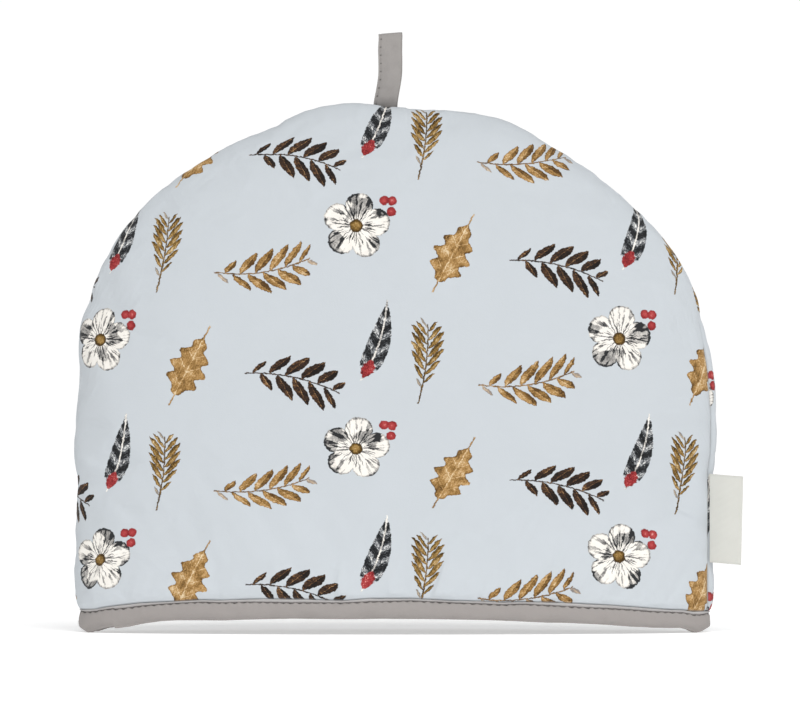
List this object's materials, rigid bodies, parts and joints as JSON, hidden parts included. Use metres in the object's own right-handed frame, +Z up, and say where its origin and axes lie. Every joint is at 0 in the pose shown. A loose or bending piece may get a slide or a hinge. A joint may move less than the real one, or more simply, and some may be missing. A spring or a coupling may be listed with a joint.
{
  "type": "tea cosy",
  "caption": "Padded dome-shaped teapot cover of printed cotton, open at its bound hem, with a tape loop in the top seam for hanging.",
  "frame": {"origin": "on the floor plane under the hem, below the middle of the whole part's box", "axes": "+X across the width, towards the side with the label; +Y from the front panel to the back panel; +Z up"},
  "size_m": [0.3484, 0.091, 0.3115],
  "materials": {
    "printed_cotton": "matt plain-weave cotton, pale blue-grey with a scattered print",
    "binding_cotton": "matt plain-weave cotton, warm grey",
    "loop_tape": "matt plain-weave cotton, warm grey, pressed",
    "label_ribbon": "woven ribbon, cream, blank"
  },
  "bodies": {
    "root": {"front_panel": "printed_cotton", "back_panel": "printed_cotton", "hem_binding": "binding_cotton", "hanging_loop": "loop_tape", "side_label": "label_ribbon"}
  },
  "joints": []
}
